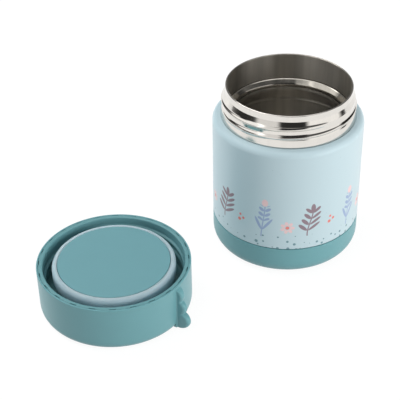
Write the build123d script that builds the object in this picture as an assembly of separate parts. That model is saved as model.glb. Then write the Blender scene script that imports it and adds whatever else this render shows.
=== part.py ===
from build123d import *
import math
import os

# Vacuum food jar with a screw-on lid. Millimetres, +Z up. The origin is the centre of the
# jar's foot. The lid lies upside down beside the jar, on the same level.

# ---- Jar: driving dimensions -------------------------------------------------------------
JAR_HEIGHT = 112.6          # foot to mouth rim, lid off
MOUTH_BORE = 75.6           # inside the mouth
STEEL = 0.6                 # sheet of both vessels
BEND = 0.8                  # usual bend or rounded corner
LIP_ROUND = 0.5             # rounding of a moulded wall's end
EDGE_ROUND = 0.3            # rounding of a small step
NECK_STEP = 1.6             # thread root outside the rim's lip
NECK_BAND_STEP = 1.0        # foot of the neck outside the thread root
SHOULDER_WIDTH = 5.4        # from the neck's foot to the painted wall
NECK_HEIGHT = 20.6          # bare neck, from its foot on the shoulder to the rim
NECK_BAND_HEIGHT = 5.4      # plain band under the thread
NECK_BAND_TAPER = 0.3       # how much narrower the band is at its top
THREAD_RISE = 1.1           # ridge above the root
THREAD_PITCH = 5.4
THREAD_UPPER_FLANK = 1.8    # height of the ridge's long upper slope
THREAD_LOWER_FLANK = 1.5    # height of its short lower slope
THREAD_TURNS = 1.4
THREAD_RUN_OUT = 0.25       # part of a turn over which each end fades
THREAD_STATIONS = 12        # sections of the ridge in each turn
THREAD_START = 15.1         # depth of the lower end's crest below the rim
THREAD_BEARING = -190.0     # bearing of the lower end
RIM_BAND = 3.9              # straight lip at the rim
RIM_FLARE = 3.2             # height of the cone between lip and thread root
SHOULDER_DROP = 1.2         # fall of the shoulder from neck to wall
SHOULDER_RADIUS = 3.8
LEDGE_DEPTH = 17.4          # rim to the top of the sealing ledge
LEDGE_WIDTH = 2.8           # from the bore in to the throat
LEDGE_FALL = 4.2            # height of the ledge's slope
LEDGE_BEND = 1.2            # bends of the ledge and the throat
THROAT_HEIGHT = 2.4
VACUUM_GAP = 5.3            # between the two vessels' walls
CHAMBER_FLARE = 8.4         # height over which the throat widens into the chamber
CHAMBER_BEND = 4.0          # bend where it meets the chamber's wall
MOUTH_SEAM = 2.0            # depth of the weld under the mouth's tube below that bend's corner
BOTTOM_GAP = 7.5            # between the two vessels' bottoms
FLOOR_RADIUS = 6.0          # edge of the chamber's floor
LINER_SEAM = 6.4            # height of the liner's weld above the chamber floor
BASE_HEIGHT = 20.8          # base cup
BASE_WALL = 2.2
BASE_RADIUS = 10.0          # bottom edge of the base cup
BASE_GROOVE = 1.1           # width of the ring groove under the base cup
BASE_GROOVE_DEPTH = 0.5
SEAM_GAP = 0.4              # open line between base cup and painted wall
GLUE_GAP = 0.2              # vessel inside the base cup
GLUE_THICKNESS = 1.1
SHELL_SEAM = 6.8            # depth of the shell's weld below the base cup's rim
EXHAUST_HOLE = 2.4
EXHAUST_BEAD = 5.8          # diameter of the glass bead
EXHAUST_BEAD_HEIGHT = 1.0
EXHAUST_DISH = 15.0
EXHAUST_DISH_DEPTH = 1.7
GETTER_DIA = 9.0
GETTER_HEIGHT = 1.8
GETTER_OFFSET = 22.0        # from the jar's axis
CLIP_SHEET = 0.3
FOIL = 0.2
FOIL_AIR = 0.15             # foil to liner
FOIL_MARGIN = 6.0           # bare liner above the foil

# ---- Lid: driving dimensions -------------------------------------------------------------
LID_SPACE = 33.0            # between the jar's wall and the lid's
LID_BEARING = 211.18        # of the lid's axis, seen from the jar's
LID_LIFT_OFF = 0.5          # lid rim above the shoulder when closed
RIM_PLAY = 0.7              # jar rim to the floor of the lid's groove when closed
THREAD_PLAY = 1.3           # collar's bore outside the jar's ridges
COLLAR_WALL = 1.5
COLLAR_RIDGE = 1.5          # ridge of the collar's own thread
COLLAR_TURNS = 2.0
COLLAR_START = 5.3          # depth of the outer end of the collar's thread below its rim
COLLAR_BEARING = 130.0      # bearing of that end
RIM_SPACE = 1.1             # between collar and cover
RIM_SLOT_WIDTH = 0.8        # of the slots through the rim into that space
RIM_SLOT_LENGTH = 4.0
RIM_SLOTS = 24
RIM_SLOT_BEARING = 2.0
FLANGE_HEIGHT = 2.0
COVER_WALL = 1.1
COVER_TOP = 2.0
COVER_RADIUS = 5.5          # edge between the cover's top and side
ROOF = 2.0                  # collar's roof
FOAM_SPACE = 6.0            # between cover and roof
SEAT_WIDTH = 2.0            # step in the cover that the collar's roof sits on
FOAM_AIR = 0.4
PART_AIR = 0.1              # between mouldings that are pushed together
SEAL_BITE = 2.2             # how far below the ledge's top the plug's end reaches when closed
SEAL_SIDE_AIR = 0.3         # seal inside the mouth
SEAL_THICKNESS = 3.0
SEAL_BEAD_HEIGHT = 8.3
SEAL_SKIRT = 1.5            # thickness of the seal above its bead
SEAL_FIT = 0.3              # seal on the plug
SEAL_ROUND = 2.2            # seal's outer edge at the plug's end
PLUG_WALL = 1.8
PLUG_SHOULDER_HEIGHT = 6.5
PLUG_SHOULDER = 2.0         # step that the seal's skirt stands on
DISC_THICKNESS = 3.1
DISC_ROUND = 0.6
FIN_BEARING = -33.5
FIN_THICKNESS = 4.4
FIN_ROUND = 1.8
FIN_WEB = 0.55              # reach of the web, as a share of the scallops' reach
FIN_SCALLOPS = (            # height of the middle, reach beyond the cover's side, radius
    (24.0, 3.8, 4.7),
    (15.2, 5.5, 4.9),
    (6.0, 7.7, 5.3),
)

# ---- Derived sizes -----------------------------------------------------------------------
BORE_R = MOUTH_BORE / 2
RIM_R = BORE_R + 2 * STEEL
NECK_R = RIM_R + NECK_STEP
CREST_R = NECK_R + THREAD_RISE
NECK_FOOT_R = NECK_R + NECK_BAND_STEP
BODY_R = NECK_FOOT_R + SHOULDER_WIDTH
THROAT_R = BORE_R - LEDGE_WIDTH
CHAMBER_R = BODY_R - VACUUM_GAP - 2 * STEEL
NECK_Z = JAR_HEIGHT - NECK_HEIGHT
LEDGE_Z = JAR_HEIGHT - LEDGE_DEPTH
THROAT_Z = LEDGE_Z - LEDGE_FALL
FLARE_Z = THROAT_Z - THROAT_HEIGHT
CHAMBER_TOP = FLARE_Z - CHAMBER_FLARE
STEP_Z = BASE_HEIGHT + SEAM_GAP
FOOT_R = BODY_R - BASE_WALL - GLUE_GAP
PAN_Z = BASE_WALL + GLUE_THICKNESS
PAN_RADIUS = BASE_RADIUS - BASE_WALL - GLUE_GAP
PAN_TOP = BASE_HEIGHT - SHELL_SEAM
DISH_Z = PAN_Z + EXHAUST_DISH_DEPTH
CHAMBER_FLOOR = PAN_Z + BOTTOM_GAP + 2 * STEEL
LINER_SEAM_Z = CHAMBER_FLOOR + LINER_SEAM
MOUTH_SEAM_Z = CHAMBER_TOP - MOUTH_SEAM

COLLAR_R = CREST_R + THREAD_PLAY
COLLAR_OUT_R = COLLAR_R + COLLAR_WALL
COVER_IN_R = COLLAR_OUT_R + RIM_SPACE
FLANGE_R = COVER_IN_R - PART_AIR
SEAT_R = COVER_IN_R - SEAT_WIDTH
LID_R = COVER_IN_R + COVER_WALL
ROOF_Z = COVER_TOP + FOAM_SPACE
GROOVE_Z = ROOF_Z + ROOF
LID_HEIGHT = GROOVE_Z + NECK_HEIGHT - LID_LIFT_OFF + RIM_PLAY
FLANGE_Z = LID_HEIGHT - FLANGE_HEIGHT
CLOSED_RIM_Z = NECK_Z + LID_LIFT_OFF
PLUG_END_Z = LID_HEIGHT - (LEDGE_Z - SEAL_BITE - CLOSED_RIM_Z)
SEAL_R = BORE_R - SEAL_SIDE_AIR
SEAL_IN_R = SEAL_R - SEAL_THICKNESS
PLUG_R = SEAL_IN_R - SEAL_FIT
PLUG_IN_R = PLUG_R - PLUG_WALL
PLUG_SHOULDER_Z = GROOVE_Z + PLUG_SHOULDER_HEIGHT
DISC_Z = PLUG_END_Z - DISC_THICKNESS
LID_DISTANCE = BODY_R + LID_SPACE + LID_R
LID_X = LID_DISTANCE * math.cos(math.radians(LID_BEARING))
LID_Y = LID_DISTANCE * math.sin(math.radians(LID_BEARING))


def turned(points, radii):
    """Solid of revolution about Z from a closed outline of (radius, height) corners."""
    outline = FilletPolyline(*points, radius=radii, close=True)
    return revolve(Plane.XZ * make_face(outline.edges()), Axis.Z)


def pressed(points, radii, side):
    """Sheet-metal wall: the line through (radius, height) points, thickened to one side."""
    line = FilletPolyline(*points, radius=radii)
    outline = Wire(line.edges()).offset_2d(STEEL, side=side)
    return revolve(Plane.XZ * make_face(outline.edges()), Axis.Z)


def disc(radius, low, high):
    """Plain disc between two heights."""
    return Pos(0, 0, low) * extrude(Circle(radius), high - low)


def tube(inner, outer, low, high):
    """Plain ring between two radii and two heights."""
    return Pos(0, 0, low) * extrude(Circle(outer) - Circle(inner), high - low)


def ridge_section(path, place, rise, scale):
    """Ridge across a helix at one place: a long upper flank, a round crest and a short lower
    flank. A negative rise stands inwards. The scale shrinks the whole section."""
    centre = path.position_at(place)
    side = math.copysign(1.0, rise)
    outward = Vector(centre.X, centre.Y, 0).normalized() * side
    plane = Plane(origin=centre, x_dir=outward, z_dir=path.tangent_at(place))
    root = -STEEL / 2
    crest = abs(rise) * scale
    lower = THREAD_LOWER_FLANK * scale * side
    upper = -THREAD_UPPER_FLANK * scale * side
    back = Polyline((0, lower), (root, lower), (root, upper), (0, upper))
    front = Spline((0, upper), (crest, 0), (0, lower), tangents=((1, side), (-1, side)))
    return plane * make_face(back.edges() + front.edges())


def thread(radius, rise, turns):
    """Right-hand ridge on a wall of the given radius, run out over a quarter turn at both ends.
    A positive rise stands outwards and a negative one inwards. The lower end is at bearing 0
    and height 0."""
    path = Helix(THREAD_PITCH, THREAD_PITCH * turns, radius)
    stations = max(8, round(turns * THREAD_STATIONS))
    sections = []
    for i in range(stations + 1):
        place = i / stations
        fade = min(1.0, min(place, 1 - place) * turns / THREAD_RUN_OUT)
        scale = 0.1 + 0.9 * math.sin(fade * math.pi / 2)
        sections.append(ridge_section(path, place, rise, scale))
    return sweep(sections, path=path, multisection=True, is_frenet=True)


# ---- Jar ---------------------------------------------------------------------------------
def outer_shell():
    """Outer vessel: rim lip, threaded neck, shoulder, wall and the stepped-in foot."""
    points = [
        (RIM_R, JAR_HEIGHT),
        (RIM_R, JAR_HEIGHT - RIM_BAND),
        (NECK_R, JAR_HEIGHT - RIM_BAND - RIM_FLARE),
        (NECK_R, NECK_Z + NECK_BAND_HEIGHT),
        (NECK_FOOT_R - NECK_BAND_TAPER, NECK_Z + NECK_BAND_HEIGHT - STEEL),
        (NECK_FOOT_R, NECK_Z),
        (BODY_R, NECK_Z - SHOULDER_DROP),
        (BODY_R, STEP_Z),
        (FOOT_R, STEP_Z),
        (FOOT_R, PAN_TOP),
    ]
    radii = [BEND, BEND, EDGE_ROUND, EDGE_ROUND, BEND, SHOULDER_RADIUS, BEND, EDGE_ROUND]
    wall = pressed(points, radii, Side.RIGHT)
    ridge = thread(NECK_R, THREAD_RISE, THREAD_TURNS)
    ridge = Pos(0, 0, JAR_HEIGHT - THREAD_START) * Rot(0, 0, THREAD_BEARING) * ridge
    return wall + ridge


def liner_mouth():
    """Top of the inner vessel: bore, sealing ledge, throat and the slope to the chamber."""
    points = [
        (BORE_R, JAR_HEIGHT),
        (BORE_R, LEDGE_Z),
        (THROAT_R, THROAT_Z),
        (THROAT_R, FLARE_Z),
        (CHAMBER_R, CHAMBER_TOP),
        (CHAMBER_R, MOUTH_SEAM_Z),
    ]
    return pressed(points, [LEDGE_BEND, LEDGE_BEND, LEDGE_BEND, CHAMBER_BEND], Side.LEFT)


def inner_liner():
    """Wall of the inner vessel, round the chamber."""
    return tube(CHAMBER_R, CHAMBER_R + STEEL, LINER_SEAM_Z, MOUTH_SEAM_Z)


def liner_bottom():
    """Drawn pan that closes the inner vessel."""
    points = [(CHAMBER_R, LINER_SEAM_Z), (CHAMBER_R, CHAMBER_FLOOR), (0, CHAMBER_FLOOR)]
    return pressed(points, [FLOOR_RADIUS], Side.LEFT)


def vacuum_bottom():
    """Drawn pan that closes the outer vessel, dished round the exhaust hole."""
    dish_r = EXHAUST_DISH / 2
    points = [
        (FOOT_R, PAN_TOP),
        (FOOT_R, PAN_Z),
        (dish_r + EXHAUST_DISH_DEPTH, PAN_Z),
        (dish_r, DISH_Z),
        (EXHAUST_HOLE / 2, DISH_Z),
    ]
    return pressed(points, [PAN_RADIUS, BEND, BEND], Side.RIGHT)


def exhaust_seal():
    """Solder-glass bead: a button under the dish and a stem that fills the hole."""
    button_r, hole_r = EXHAUST_BEAD / 2, EXHAUST_HOLE / 2
    low = DISH_Z - EXHAUST_BEAD_HEIGHT
    high = DISH_Z + STEEL
    points = [(0, low), (button_r, low), (button_r, DISH_Z), (hole_r, DISH_Z), (hole_r, high), (0, high)]
    return turned(points, [0, EXHAUST_BEAD_HEIGHT * 0.6, 0, 0, 0, 0])


def getter_pan():
    """Pressed cup with a folded lip, spot-welded inside the vacuum space."""
    out_r = GETTER_DIA / 2 + CLIP_SHEET
    low = PAN_Z + STEEL
    high = low + CLIP_SHEET + GETTER_HEIGHT
    cup = disc(out_r, low, high) - disc(GETTER_DIA / 2, low + CLIP_SHEET, high)
    lip = tube(GETTER_DIA / 2 - CLIP_SHEET, out_r, high, high + CLIP_SHEET)
    return Pos(GETTER_OFFSET, 0, 0) * (cup + lip)


def getter():
    """Pressed pill in its pan."""
    low = PAN_Z + STEEL + CLIP_SHEET
    return Pos(GETTER_OFFSET, 0, 0) * disc(GETTER_DIA / 2, low, low + GETTER_HEIGHT)


def radiation_foil():
    """Foil sleeve round the liner's straight wall."""
    inner = CHAMBER_R + STEEL + FOIL_AIR
    return tube(inner, inner + FOIL, LINER_SEAM_Z, CHAMBER_TOP - FOIL_MARGIN)


def base_cup():
    """Moulded cup round the vessel's foot, with a shallow ring groove under it."""
    points = [
        (0, 0),
        (BODY_R, 0),
        (BODY_R, BASE_HEIGHT),
        (BODY_R - BASE_WALL, BASE_HEIGHT),
        (BODY_R - BASE_WALL, BASE_WALL),
        (0, BASE_WALL),
    ]
    cup = turned(points, [0, BASE_RADIUS, LIP_ROUND, EDGE_ROUND, BASE_RADIUS - BASE_WALL, 0])
    groove_r = BODY_R - BASE_RADIUS - 4 * BASE_GROOVE
    return cup - tube(groove_r - BASE_GROOVE, groove_r, -BASE_GROOVE_DEPTH, BASE_GROOVE_DEPTH)


def base_adhesive():
    """Bonded ring between the base cup's floor and the vessel's bottom pan."""
    inner = EXHAUST_DISH / 2 + 2 * EXHAUST_DISH_DEPTH
    return tube(inner, FOOT_R - PAN_RADIUS, BASE_WALL, PAN_Z)


# ---- Lid, upside down, about its own axis --------------------------------------------------
def grip_fin():
    """Radial grip on the cover's side: round-edged scallops that grow towards the lid's top,
    on a web that fills the hollows between them."""
    fin = Part()
    for height, reach, radius in FIN_SCALLOPS:
        lobe = Cylinder(radius, FIN_THICKNESS)
        lobe = fillet(lobe.edges().filter_by(GeomType.CIRCLE), FIN_ROUND)
        fin += Pos(LID_R + reach - radius, 0, height) * Rot(90, 0, 0) * lobe
    middles = [(LID_R + reach * FIN_WEB, height) for height, reach, _ in FIN_SCALLOPS]
    root = LID_R - COVER_WALL
    web = Polyline((root, middles[0][1]), *middles, (root, middles[-1][1]), close=True)
    fin += extrude(Plane.XZ * make_face(web.edges()), FIN_THICKNESS / 2 - FIN_ROUND / 4, both=True)
    fin -= disc(LID_R - COVER_WALL / 2, -LID_HEIGHT, 2 * LID_HEIGHT)
    return Rot(0, 0, FIN_BEARING) * fin


def lid_cover():
    """Outer moulding: top, rounded edge, side with the grip fin, and the collar's seat."""
    points = [
        (0, 0),
        (LID_R, 0),
        (LID_R, LID_HEIGHT),
        (COVER_IN_R, LID_HEIGHT),
        (COVER_IN_R, ROOF_Z),
        (SEAT_R, ROOF_Z),
        (SEAT_R, COVER_TOP),
        (0, COVER_TOP),
    ]
    cover = turned(points, [0, COVER_RADIUS, LIP_ROUND, EDGE_ROUND, 0, 0, COVER_RADIUS / 2, 0])
    return cover + grip_fin()


def rim_slots():
    """The slots through the collar's flange, where it meets the cover."""
    slot = Box(2 * RIM_SLOT_WIDTH, RIM_SLOT_LENGTH, 2 * FLANGE_HEIGHT)
    slot = Pos(FLANGE_R, 0, LID_HEIGHT - FLANGE_HEIGHT / 2) * slot
    step = 360 / RIM_SLOTS
    return [Rot(0, 0, RIM_SLOT_BEARING + step * i) * slot for i in range(RIM_SLOTS)]


def lid_collar():
    """Inner moulding that screws on the neck: roof, threaded wall and slotted rim flange."""
    points = [
        (0, ROOF_Z),
        (COLLAR_OUT_R, ROOF_Z),
        (COLLAR_OUT_R, FLANGE_Z),
        (FLANGE_R, FLANGE_Z),
        (FLANGE_R, LID_HEIGHT),
        (COLLAR_R, LID_HEIGHT),
        (COLLAR_R, GROOVE_Z),
        (0, GROOVE_Z),
    ]
    collar = turned(points, [0, 0, 0, 0, EDGE_ROUND, LIP_ROUND, BEND, 0])
    low = LID_HEIGHT - COLLAR_START - THREAD_PITCH * COLLAR_TURNS
    start = COLLAR_BEARING - 360 * COLLAR_TURNS
    ridge = thread(COLLAR_R, -COLLAR_RIDGE, COLLAR_TURNS)
    return collar + Pos(0, 0, low) * Rot(0, 0, start) * ridge - rim_slots()


def lid_foam():
    """Foam disc between the cover and the collar's roof."""
    outer = SEAT_R - FOAM_AIR
    low, high = COVER_TOP + FOAM_AIR, ROOF_Z - FOAM_AIR
    return turned([(0, low), (outer, low), (outer, high), (0, high)], [0, COVER_RADIUS / 2, 0, 0])


def plug_cup():
    """Plug wall on the collar's roof, with the step that the seal stands on."""
    points = [
        (PLUG_IN_R, GROOVE_Z),
        (PLUG_R + PLUG_SHOULDER, GROOVE_Z),
        (PLUG_R + PLUG_SHOULDER, PLUG_SHOULDER_Z),
        (PLUG_R, PLUG_SHOULDER_Z),
        (PLUG_R, DISC_Z),
        (PLUG_IN_R, DISC_Z),
    ]
    return turned(points, [0, 0, LIP_ROUND, 0, 0, 0])


def plug_foam():
    """Foam block inside the plug."""
    return disc(PLUG_IN_R - FOAM_AIR, GROOVE_Z, DISC_Z - FOAM_AIR)


def plug_disc():
    """Disc that closes the plug."""
    points = [(0, DISC_Z), (PLUG_R, DISC_Z), (PLUG_R, PLUG_END_Z), (0, PLUG_END_Z)]
    return turned(points, [0, 0, DISC_ROUND, 0])


def seal_ring():
    """Silicone seal: a thick rounded bead at the plug's end and a thinner skirt behind it."""
    low = PLUG_SHOULDER_Z + PART_AIR
    bead = PLUG_END_Z - SEAL_BEAD_HEIGHT
    skirt_r = SEAL_IN_R + SEAL_SKIRT
    points = [
        (SEAL_IN_R, low),
        (skirt_r, low),
        (skirt_r, bead),
        (SEAL_R, bead),
        (SEAL_R, PLUG_END_Z),
        (SEAL_IN_R, PLUG_END_Z),
    ]
    return turned(points, [EDGE_ROUND, EDGE_ROUND, LIP_ROUND, BEND, SEAL_ROUND, EDGE_ROUND])


JAR_PARTS = [
    outer_shell, liner_mouth, inner_liner, liner_bottom, vacuum_bottom, exhaust_seal,
    getter_pan, getter, radiation_foil, base_cup, base_adhesive,
]
LID_PARTS = [lid_cover, lid_collar, lid_foam, plug_cup, plug_foam, plug_disc, seal_ring]


def main():
    """Write one STEP file per piece, each where it lies at rest."""
    os.makedirs("parts", exist_ok=True)
    for make in JAR_PARTS:
        export_step(make(), f"parts/{make.__name__}.step")
    for make in LID_PARTS:
        export_step(Pos(LID_X, LID_Y, 0) * make(), f"parts/{make.__name__}.step")
    print(f"jar {2 * BODY_R:.1f} x {JAR_HEIGHT:.1f}, lid {2 * LID_R:.1f} x {LID_HEIGHT:.1f}")
    print(f"closed height {CLOSED_RIM_Z + LID_HEIGHT:.1f}, lid axis {LID_X:.2f}, {LID_Y:.2f}")


main()
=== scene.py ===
"""Looks of a vacuum food jar and its screw-on lid, which lies upside down beside it.

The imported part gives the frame: every surface here is worked out about the axes of its
solids, in millimetres, and put into the mesh in metres.
"""
import logging
import math
from dataclasses import dataclass
from enum import Enum
from typing import Optional, Sequence, Union

import bpy
import numpy as np
from mathutils import Matrix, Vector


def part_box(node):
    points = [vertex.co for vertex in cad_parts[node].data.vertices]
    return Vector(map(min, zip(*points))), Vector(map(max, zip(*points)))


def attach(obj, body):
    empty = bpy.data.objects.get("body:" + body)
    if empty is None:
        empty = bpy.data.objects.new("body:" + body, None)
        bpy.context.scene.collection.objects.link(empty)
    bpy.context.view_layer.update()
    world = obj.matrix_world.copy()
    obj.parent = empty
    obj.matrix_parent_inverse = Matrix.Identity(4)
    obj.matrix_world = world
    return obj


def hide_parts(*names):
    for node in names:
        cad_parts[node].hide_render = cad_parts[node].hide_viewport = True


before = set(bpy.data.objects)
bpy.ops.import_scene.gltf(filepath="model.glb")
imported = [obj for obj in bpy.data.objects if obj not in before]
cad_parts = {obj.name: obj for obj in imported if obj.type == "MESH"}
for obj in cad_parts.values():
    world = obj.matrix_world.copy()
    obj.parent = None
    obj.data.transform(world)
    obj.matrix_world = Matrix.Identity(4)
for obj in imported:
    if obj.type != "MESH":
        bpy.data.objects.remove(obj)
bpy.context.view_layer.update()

LOG = logging.getLogger("food_jar")
MM = 0.001                  # metres in a millimetre
FULL = 2 * math.pi          # a full turn
MEAN = 0.5                  # mean of a noise or a random value from 0 to 1
STRAIGHT = 1e-4             # turn, in radians, below which a corner gets no arc
SAME = 1e-6                 # spread, in millimetres, below which a row is a pole
Colour = tuple[float, float, float]
Corner = tuple[float, float]
Rounds = tuple[float, ...]


def srgb(red: int, green: int, blue: int) -> Colour:
    """Linear colour of a screen colour.

    Args:
        red: its red part, from 0 to 255.
        green: its green part.
        blue: its blue part.

    Returns:
        The colour.
    """
    def channel(value: int) -> float:
        """One channel, by the sRGB curve."""
        part = value / 255
        return part / 12.92 if part <= 0.04045 else ((part + 0.055) / 1.055) ** 2.4
    return (channel(red), channel(green), channel(blue))


# ---- Outlines and surfaces -----------------------------------------------------------------
def rounded(corners: Sequence[Corner], radii: Sequence[float], steps: int = 7) -> np.ndarray:
    """Line through (radius, height) corners, with arcs at the inner ones.

    An arc of radius R that turns by t starts R tan(t/2) before its corner. Its points are
    start + R sin(s) a + R (1 - cos(s)) n for s from 0 to t, where a is the way in and n the
    side that the line turns to. Each straight run gets a point close to both of its ends, so
    that smooth shading stays in the arcs.

    Args:
        corners: the corners in order.
        radii: a radius for each corner but the first and last.
        steps: spans in each arc.

    Returns:
        The points, as rows of radius and height.
    """
    places = np.array(corners, float)
    runs = [places[:1]]
    for before, corner, after, radius in zip(places, places[1:], places[2:], radii):
        way_in = (corner - before) / np.linalg.norm(corner - before)
        way_out = (after - corner) / np.linalg.norm(after - corner)
        turn = math.acos(float(np.clip(way_in @ way_out, -1, 1)))
        if radius == 0 or turn < STRAIGHT:
            runs.append(corner[None])
            continue
        side = way_out - way_in * (way_in @ way_out)
        side /= np.linalg.norm(side)
        start = corner - way_in * radius * math.tan(turn / 2)
        swing = np.linspace(0, turn, steps + 1)[:, None]
        runs.append(start + radius * (np.sin(swing) * way_in + (1 - np.cos(swing)) * side))
    runs.append(places[-1:])
    return np.vstack([part for pair in zip(runs, supports(runs)) for part in pair])


def supports(runs: Sequence[np.ndarray], reach: float = 0.3) -> list[np.ndarray]:
    """Two points on each straight run between arcs, near its ends; none on a short run.

    Args:
        runs: the arcs' points, in order.
        reach: distance of the points from the run's ends.

    Returns:
        The points that follow each arc.
    """
    extra = []
    for run, following in zip(runs, list(runs[1:]) + [runs[-1]]):
        gap = following[0] - run[-1]
        length = float(np.linalg.norm(gap))
        shares = (reach / length, 1 - reach / length) if length > 4 * reach else ()
        extra.append(np.array([run[-1] + gap * share for share in shares]).reshape(-1, 2))
    return extra


def refined(outline: np.ndarray, longest: float) -> np.ndarray:
    """The same line with its long spans cut into equal parts.

    Args:
        outline: rows of radius and height.
        longest: length of the longest part.

    Returns:
        The finer line.
    """
    spans = np.linalg.norm(np.diff(outline, axis=0), axis=1)
    cuts = np.maximum(1, np.ceil(spans / longest)).astype(int)
    places = np.concatenate([[0.0], np.repeat(1 / cuts, cuts).cumsum()])
    stations = np.arange(len(outline))
    return np.stack([np.interp(places, stations, outline[:, k]) for k in range(2)], axis=1)


def offset(outline: np.ndarray, distance: float) -> np.ndarray:
    """The line moved to its right, along the mean of the normals of its two spans.

    Args:
        outline: rows of radius and height.
        distance: how far; less than 0 is to the left.

    Returns:
        The moved line.
    """
    spans = np.diff(outline, axis=0)
    spans /= np.linalg.norm(spans, axis=1, keepdims=True)
    normals = np.stack([spans[:, 1], -spans[:, 0]], axis=1)
    normals = np.vstack([normals[:1], normals[:-1] + normals[1:], normals[-1:]])
    normals /= np.linalg.norm(normals, axis=1, keepdims=True)
    return outline + normals * distance


def circle(count: int, start: float = math.pi / 2) -> np.ndarray:
    """Angles of evenly spaced columns round an axis; the seam is at the back."""
    return start + FULL * np.arange(count) / count


@dataclass
class Surface:
    """A grid of points in millimetres, with a texture place for each of its corners.

    Attributes:
        points: rows, columns and three coordinates.
        flow: texture places, with one more row or column where the grid closes on itself.
        closed_rows: whether the last row meets the first.
        closed_columns: whether the last column meets the first.
    """
    points: np.ndarray
    flow: np.ndarray
    closed_rows: bool = False
    closed_columns: bool = True

    def faces(self) -> tuple[np.ndarray, np.ndarray, np.ndarray]:
        """Corner numbers, texture places and corner counts of the faces.

        Each face joins (row, column), (row + 1, column), (row + 1, column + 1) and
        (row, column + 1). A row whose points all coincide is a pole and gives triangles.

        Returns:
            The three arrays.
        """
        rows, columns = self.points.shape[:2]
        index = np.arange(rows * columns).reshape(rows, columns)
        pole = np.ptp(self.points, axis=1).max(axis=1) < SAME
        index[pole] = index[pole, :1]
        if self.closed_rows:
            index = np.vstack([index, index[:1]])
        if self.closed_columns:
            index = np.hstack([index, index[:, :1]])

        def corners(grid: np.ndarray) -> np.ndarray:
            """The four corners of every face of a grid."""
            four = [grid[:-1, :-1], grid[1:, :-1], grid[1:, 1:], grid[:-1, 1:]]
            return np.stack(four, axis=2).reshape(-1, 4, *grid.shape[2:])

        numbers, places = corners(index), corners(self.flow)
        kept = np.ones(numbers.shape, bool)
        kept[:, 3] = numbers[:, 3] != numbers[:, 0]
        kept[:, 2] = numbers[:, 2] != numbers[:, 1]
        return numbers[kept], places[kept], kept.sum(axis=1)


def turned(outline: np.ndarray, angles: np.ndarray, centre: Corner = (0.0, 0.0),
           radial: Optional[np.ndarray] = None, flow_radius: float = 40.0,
           flow_height: bool = False) -> Surface:
    """Closed surface of revolution about an upright axis.

    A point is (centre x + r cos a, centre y + r sin a, height), with r the outline's radius
    plus the radial shift. The outline's end meets its start. It is taken with its outer side
    going down, which turns the faces outwards.

    Args:
        outline: rows of radius and height.
        angles: one angle for each column.
        centre: the axis in plan.
        radial: shift of the radius, by row and column, for an outline that already runs down.
        flow_radius: radius at which the texture's first coordinate is a true length.
        flow_height: whether the texture's second coordinate is the height; otherwise it is
            the length along the outline.

    Returns:
        The surface.
    """
    across, along = outline[:, 0], outline[:, 1]
    area = float(np.sum(across * np.roll(along, -1) - np.roll(across, -1) * along))
    if area > 0:
        outline = outline[::-1]
    radius = outline[:, :1] + (0.0 if radial is None else radial)
    height = np.broadcast_to(outline[:, 1:], (len(outline), len(angles)))
    radius = np.broadcast_to(radius, height.shape)
    x = centre[0] + radius * np.cos(angles)
    y = centre[1] + radius * np.sin(angles)
    ring = np.vstack([outline, outline[:1]])
    lengths = np.concatenate([[0.0], np.linalg.norm(np.diff(ring, axis=0), axis=1).cumsum()])
    first = flow_radius * (np.append(angles, angles[0] + FULL) - angles[0])
    flow = np.stack(np.meshgrid(first, ring[:, 1] if flow_height else lengths), axis=2)
    return Surface(np.stack([x, y, height], axis=2), flow, closed_rows=True)


@dataclass(frozen=True)
class Thread:
    """Ridge that climbs round an axis. Millimetres.

    Attributes:
        rise: how far its crest stands out.
        pitch: its climb in one turn.
        turns: its length, in turns.
        bearing: degrees from +X to its lower end, from -180 to 180.
        upper_flank: height of the slope above the crest.
        lower_flank: height of the slope below the crest.
        fade: length of each fading end, in turns.
    """
    rise: float
    pitch: float
    turns: float
    bearing: float
    upper_flank: float
    lower_flank: float
    fade: float = 0.25

    def relief(self, angles: np.ndarray, heights: np.ndarray, low: float) -> np.ndarray:
        """How far the ridge stands out, by height and angle.

        The crest climbs by one pitch a turn. Above it the ridge falls over the upper flank
        and below it over the lower one, each by half a cosine wave. Both ends fade by a
        quarter of a sine wave. The turns are laid one over another and the furthest counts.

        Args:
            angles: one angle for each column.
            heights: one height for each row.
            low: height of the crest's lower end.

        Returns:
            The shift of the radius.
        """
        total = np.zeros((len(heights), len(angles)))
        sweep = FULL * self.turns
        for turn in range(-1, math.ceil(self.turns) + 1):
            along = angles[None] - math.radians(self.bearing) + FULL * turn
            above = heights[:, None] - (low + self.pitch * along / FULL)
            flank = np.where(above > 0, self.upper_flank, self.lower_flank)
            shape = 0.5 + 0.5 * np.cos(math.pi * np.clip(np.abs(above) / flank, 0, 1))
            fade = np.clip(np.minimum(along, sweep - along) / (FULL * self.fade), 0, 1)
            total = np.maximum(total, self.rise * shape * np.sin(fade * math.pi / 2))
        return total


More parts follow.
